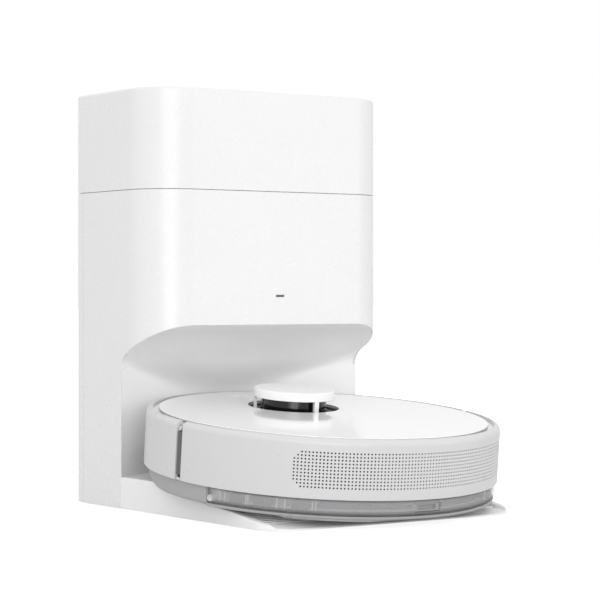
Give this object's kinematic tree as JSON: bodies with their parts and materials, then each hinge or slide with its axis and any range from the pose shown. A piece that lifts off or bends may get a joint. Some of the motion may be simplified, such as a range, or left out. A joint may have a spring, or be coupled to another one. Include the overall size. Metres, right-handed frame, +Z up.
{
  "type": "robot vacuum with self-emptying station",
  "caption": "Round robot vacuum with a laser turret, mop and water tank, parked nose-up on the ramp of a tall self-emptying station with a hinged lid.",
  "frame": {"origin": "on the floor under the centre of the whole set's box", "axes": "+Z up; +X across the station, to the right seen from the front; -Y out of the bay, the way the robot drives out"},
  "size_m": [0.35, 0.4078, 0.4225],
  "materials": {
    "white_gloss": "glossy white moulded plastic",
    "white_satin": "satin white moulded plastic",
    "robot_white": "semi-gloss white plastic",
    "grey_plastic": "mid-grey plastic",
    "pale_grey_plastic": "pale grey plastic",
    "dark_plastic": "dark plastic",
    "dark_window": "black infrared window",
    "rubber": "black rubber foot",
    "pale_rubber": "grey soft seal",
    "brush_rubber": "soft brush rubber",
    "tyre_rubber": "ribbed tyre",
    "smoked_clear": "translucent grey plastic",
    "metal": "bright steel",
    "circuit_board": "green circuit board",
    "bag_cloth": "white non-woven cloth",
    "mop_cloth": "looped microfibre",
    "filter_paper": "pleated paper and card",
    "lamp": "indicator lens"
  },
  "bodies": {
    "dock": {"dock_base": "white_satin", "tower_shell": "white_gloss", "bay_liner": "white_satin", "rear_cover": "white_satin", "bag_tray": "grey_plastic", "floor_duct": "grey_plastic", "duct_riser": "grey_plastic", "inlet_seal": "pale_rubber", "station_fan_casing": "dark_plastic", "exhaust_filter": "filter_paper", "power_board": "circuit_board", "power_inlet": "dark_plastic", "status_light": "lamp", "ir_window": "dark_window", "dust_bag": "bag_cloth", "bag_collar": "filter_paper", "foot_1": "rubber", "foot_2": "rubber", "foot_3": "rubber", "foot_4": "rubber"},
    "lid": {"lid_shell": "white_gloss", "lid_seal": "pale_rubber", "lid_pin_left": "metal", "lid_pin_right": "metal"},
    "station_fan": {"station_impeller": "metal"},
    "contact_left": {"contact_left": "metal"},
    "contact_right": {"contact_right": "metal"},
    "robot": {"rear_shell": "robot_white", "chassis": "pale_grey_plastic", "deck": "grey_plastic", "hinge_bar": "metal", "seam_strip_left": "pale_rubber", "seam_strip_right": "pale_rubber", "lidar_housing": "dark_plastic", "dustbin": "smoked_clear", "dustbin_lid": "grey_plastic", "dustbin_filter": "filter_paper", "fan_housing": "dark_plastic", "battery": "dark_plastic", "main_board": "circuit_board", "brush_guard": "pale_grey_plastic"},
    "bumper": {"bumper": "robot_white"},
    "cover": {"top_cover": "white_gloss"},
    "power_button": {"power_button": "robot_white"},
    "home_button": {"home_button": "robot_white"},
    "lidar_drum": {"lidar_drum": "dark_window"},
    "lidar_cap": {"lidar_cap": "robot_white"},
    "robot_fan": {"fan_impeller": "grey_plastic"},
    "main_brush": {"brush_roller": "brush_rubber"},
    "side_brush": {"side_brush": "grey_plastic"},
    "wheel_arm_left": {"wheel_arm_left": "dark_plastic"},
    "wheel_arm_right": {"wheel_arm_right": "dark_plastic"},
    "wheel_left": {"wheel_left": "tyre_rubber"},
    "wheel_right": {"wheel_right": "tyre_rubber"},
    "caster_fork": {"caster_fork": "dark_plastic"},
    "caster_wheel": {"caster_wheel": "grey_plastic"},
    "tank": {"water_tank": "smoked_clear"},
    "tank_latch": {"tank_latch": "grey_plastic"},
    "mop": {"mop_plate": "grey_plastic", "mop_pad": "mop_cloth"}
  },
  "joints": [
    {"name": "robot_drive_out", "type": "hinge", "parent": "dock", "child": "robot", "pos_m": [0, -0.55202, 7.00388], "axis": [-1, 0, 0], "range_deg": [0, 5.38]},
    {"name": "lid_hinge", "type": "hinge", "parent": "dock", "child": "lid", "pos_m": [0, 0.20143, 0.331], "axis": [-1, 0, 0], "range_deg": [0, 82]},
    {"name": "station_fan_spin", "type": "hinge", "parent": "dock", "child": "station_fan", "pos_m": [0.04, 0.11893, 0.219], "axis": [0, 0, 1], "continuous": true},
    {"name": "contact_left_press", "type": "slide", "parent": "dock", "child": "contact_left", "axis": [0, 0, -1], "range_m": [0, 0.002], "stiffness_N_per_m": 400},
    {"name": "contact_right_press", "type": "slide", "parent": "dock", "child": "contact_right", "axis": [0, 0, -1], "range_m": [0, 0.002], "stiffness_N_per_m": 400},
    {"name": "bumper_press", "type": "slide", "parent": "robot", "child": "bumper", "axis": [0, -0.9956, -0.0938], "range_m": [0, 0.0015], "stiffness_N_per_m": 600},
    {"name": "cover_hinge", "type": "hinge", "parent": "robot", "child": "cover", "pos_m": [0, 0.11963, 0.10659], "axis": [-1, 0, 0], "range_deg": [0, 45]},
    {"name": "power_press", "type": "slide", "parent": "cover", "child": "power_button", "axis": [0, 0.0938, -0.9956], "range_m": [0, 0.0008], "stiffness_N_per_m": 900},
    {"name": "home_press", "type": "slide", "parent": "cover", "child": "home_button", "axis": [0, 0.0938, -0.9956], "range_m": [0, 0.0008], "stiffness_N_per_m": 900},
    {"name": "lidar_spin", "type": "hinge", "parent": "robot", "child": "lidar_drum", "pos_m": [0, 0.0215, 0.10338], "axis": [0, -0.0938, 0.9956], "continuous": true},
    {"name": "lidar_cap_press", "type": "slide", "parent": "robot", "child": "lidar_cap", "axis": [0, 0.0938, -0.9956], "range_m": [0, 0.0015], "stiffness_N_per_m": 1500},
    {"name": "robot_fan_spin", "type": "hinge", "parent": "robot", "child": "robot_fan", "pos_m": [-0.112, -0.10256, 0.05553], "axis": [0, -0.0938, 0.9956], "continuous": true},
    {"name": "main_brush_spin", "type": "hinge", "parent": "robot", "child": "main_brush", "pos_m": [0, 0.05102, 0.04589], "axis": [1, 0, 0], "continuous": true},
    {"name": "side_brush_spin", "type": "hinge", "parent": "robot", "child": "side_brush", "pos_m": [0.102, 0.08836, 0.03334], "axis": [0, -0.0938, 0.9956], "continuous": true},
    {"name": "wheel_arm_left_travel", "type": "hinge", "parent": "robot", "child": "wheel_arm_left", "pos_m": [-0.082, 0.00945, 0.05001], "axis": [-1, 0, 0], "range_deg": [0, 6], "stiffness_Nm_per_rad": 3, "springref_deg": -14.32},
    {"name": "wheel_left_roll", "type": "hinge", "parent": "wheel_arm_left", "child": "wheel_left", "pos_m": [-0.108, -0.02577, 0.05071], "axis": [1, 0, 0], "continuous": true},
    {"name": "wheel_arm_right_travel", "type": "hinge", "parent": "robot", "child": "wheel_arm_right", "pos_m": [0.082, 0.00945, 0.05001], "axis": [-1, 0, 0], "range_deg": [0, 6], "stiffness_Nm_per_rad": 3, "springref_deg": -14.32},
    {"name": "wheel_right_roll", "type": "hinge", "parent": "wheel_arm_right", "child": "wheel_right", "pos_m": [0.108, -0.02577, 0.05071], "axis": [1, 0, 0], "continuous": true},
    {"name": "caster_swivel", "type": "hinge", "parent": "robot", "child": "caster_fork", "pos_m": [0, 0.10279, 0.05077], "axis": [0, -0.0938, 0.9956], "continuous": true},
    {"name": "caster_roll", "type": "hinge", "parent": "caster_fork", "child": "caster_wheel", "pos_m": [0, 0.10065, 0.04152], "axis": [1, 0, 0], "continuous": true},
    {"name": "tank_slide", "type": "slide", "parent": "robot", "child": "tank", "axis": [0, -0.9956, -0.0938], "range_m": [0, 0.13]},
    {"name": "tank_latch_press", "type": "slide", "parent": "tank", "child": "tank_latch", "axis": [0, 0.9956, 0.0938], "range_m": [0, 0.003], "stiffness_N_per_m": 500},
    {"name": "mop_slide", "type": "slide", "parent": "tank", "child": "mop", "axis": [0, -0.9956, -0.0938], "range_m": [0, 0.1]}
  ]
}
